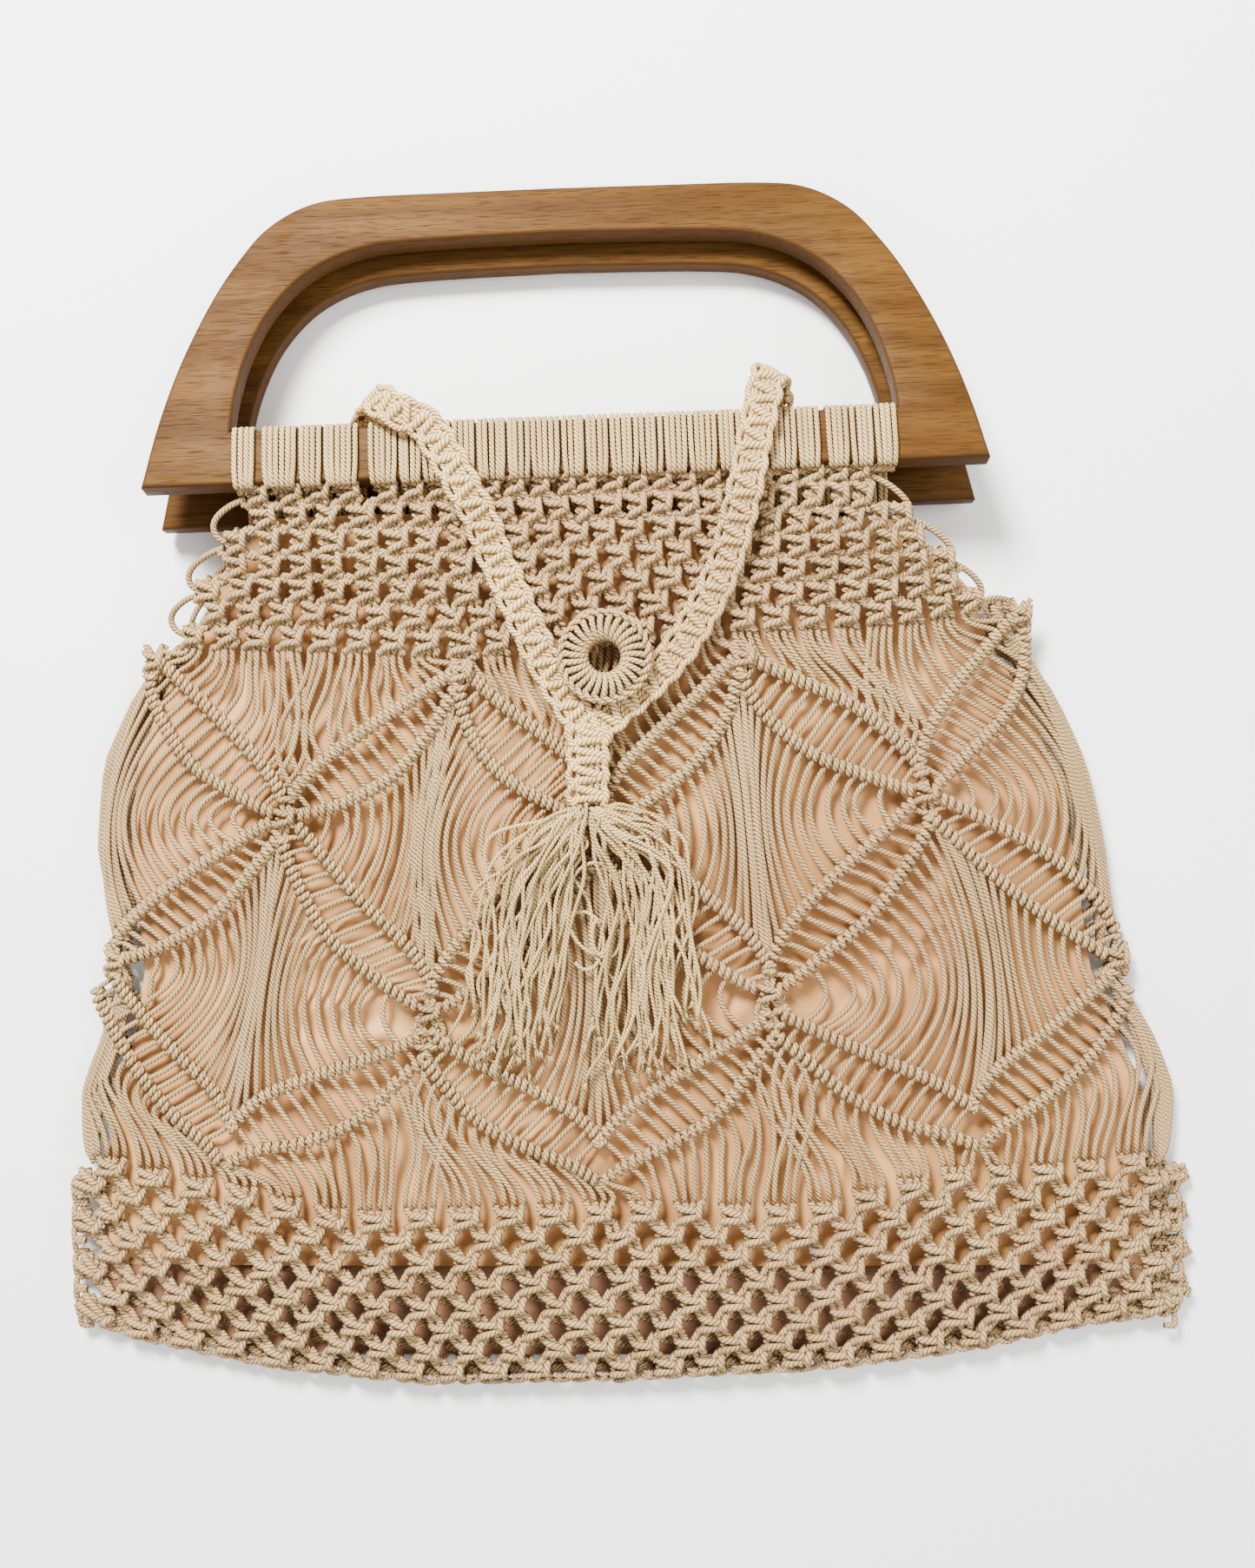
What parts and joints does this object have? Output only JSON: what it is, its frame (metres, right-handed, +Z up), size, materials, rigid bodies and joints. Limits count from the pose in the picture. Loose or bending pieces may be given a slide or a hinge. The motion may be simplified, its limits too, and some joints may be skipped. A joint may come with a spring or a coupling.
{
  "type": "hand-knotted cord handbag with wooden handles",
  "caption": "Hand-knotted cord handbag lying flat, with D-shaped wooden handles, satin pouch, closing strap, ring button and tassel.",
  "frame": {"origin": "middle of the bag's underside as it lies on its back", "axes": "+Z up from the surface it lies on, +Y from the base towards the handles, +X to the right seen from the front"},
  "size_m": [0.4162, 0.4444, 0.0465],
  "materials": {
    "handle_wood": "worn satin varnish",
    "bag_cord": "matt twisted cord",
    "strap_cord": "matt knotted cord",
    "tassel_thread": "loose thread with a soft sheen",
    "satin": "crinkled satin"
  },
  "bodies": {
    "root": {"handle_front": "handle_wood", "handle_back": "handle_wood", "bar_wrap_front": "bag_cord", "bar_wrap_back": "bag_cord", "net_front": "bag_cord", "net_back": "bag_cord", "lining_pouch": "satin", "closure_strap": "strap_cord", "ring_button": "strap_cord", "tassel": "tassel_thread"}
  },
  "joints": []
}
